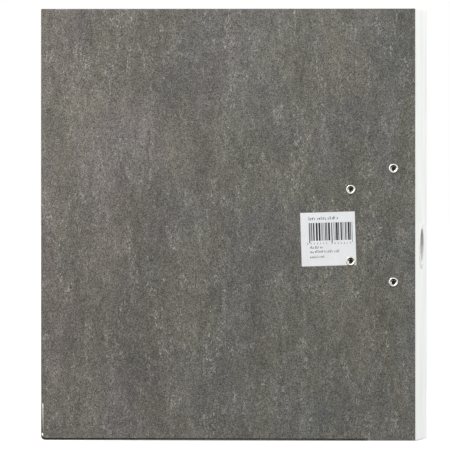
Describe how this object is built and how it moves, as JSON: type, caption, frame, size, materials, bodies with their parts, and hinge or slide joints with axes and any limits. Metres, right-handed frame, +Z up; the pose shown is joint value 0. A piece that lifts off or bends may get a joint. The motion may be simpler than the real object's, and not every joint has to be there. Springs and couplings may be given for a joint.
{
  "type": "lever arch file",
  "caption": "Lever arch file: hinged board covers and spine with a finger ring, and a ring mechanism with lever, swinging arch, paper posts and a sliding compressor bar.",
  "frame": {"origin": "centre of the footprint, at the height of the bottom edge guards' feet", "axes": "+Z up along the spine, +X towards the spine, -Y towards the back cover that carries the mechanism, +Y towards the front cover"},
  "size_m": [0.2806, 0.0812, 0.32],
  "materials": {
    "grey_board": "raw grey board, seen only at cut edges",
    "marbled_paper": "grey recycled paper with a soft cloud pattern and stray fibres, matt",
    "spine_paper": "smooth white paper, matt",
    "lining_paper": "pale grey recycled paper, matt",
    "fold_paper": "paper joint along the fold, matt",
    "label_paper": "white self-adhesive label, satin",
    "guard_steel": "thin nickel-plated steel, satin",
    "bright_nickel": "bright nickel plate",
    "white_lacquer": "white stoved lacquer on steel, satin",
    "plate_steel": "nickel-plated sheet steel",
    "spring_steel": "blued spring steel, satin",
    "roller_plastic": "black nylon"
  },
  "bodies": {
    "back": {"back_board": "grey_board", "back_wrap": "marbled_paper", "back_liner": "lining_paper", "back_label": "label_paper", "back_edge_guard": "guard_steel", "base_plate": "plate_steel", "post_upper": "bright_nickel", "post_lower": "bright_nickel", "mechanism_rivets": "bright_nickel", "lever_pin": "bright_nickel"},
    "spine": {"spine_board": "grey_board", "spine_wrap": "spine_paper", "spine_liner": "lining_paper", "rear_crease": "fold_paper", "front_crease": "fold_paper", "finger_ring": "white_lacquer", "finger_ring_backing": "plate_steel"},
    "front": {"front_board": "grey_board", "front_wrap": "marbled_paper", "front_liner": "lining_paper", "front_edge_guard": "guard_steel", "slot_eyelet_upper": "bright_nickel", "slot_eyelet_lower": "bright_nickel"},
    "arch": {"arch_wire": "bright_nickel"},
    "lever": {"lever": "bright_nickel", "roller_pin": "bright_nickel"},
    "roller": {"roller": "roller_plastic"},
    "compressor": {"compressor_bar": "bright_nickel", "compressor_clip_upper": "spring_steel", "compressor_clip_lower": "spring_steel", "clip_rivets": "bright_nickel"}
  },
  "joints": [
    {"name": "rear_hinge", "type": "hinge", "parent": "back", "child": "spine", "pos_m": [0.13885, -0.0392, 0.16], "axis": [0, 0, -1], "range_deg": [0, 90]},
    {"name": "front_hinge", "type": "hinge", "parent": "spine", "child": "front", "pos_m": [0.13885, 0.0392, 0.16], "axis": [0, 0, -1], "range_deg": [0, 90]},
    {"name": "lever_lift", "type": "hinge", "parent": "back", "child": "lever", "pos_m": [0.10565, -0.02115, 0.1475], "axis": [-1, 0, 0], "range_deg": [0, 90]},
    {"name": "arch_swing", "type": "hinge", "parent": "back", "child": "arch", "pos_m": [0.11715, -0.0335, 0.1595], "axis": [0, 0, -1], "range_deg": [0, 20]},
    {"name": "roller_spin", "type": "hinge", "parent": "lever", "child": "roller", "pos_m": [0.10565, -0.02715, 0.1475], "axis": [1, 0, 0], "continuous": true},
    {"name": "compressor_slide", "type": "slide", "parent": "back", "child": "compressor", "axis": [0, 1, 0], "range_m": [-0.005, 0.03]}
  ],
  "couplings": [
    {"joint": "arch_swing", "follows": "lever_lift", "ratio": 0.2222}
  ]
}
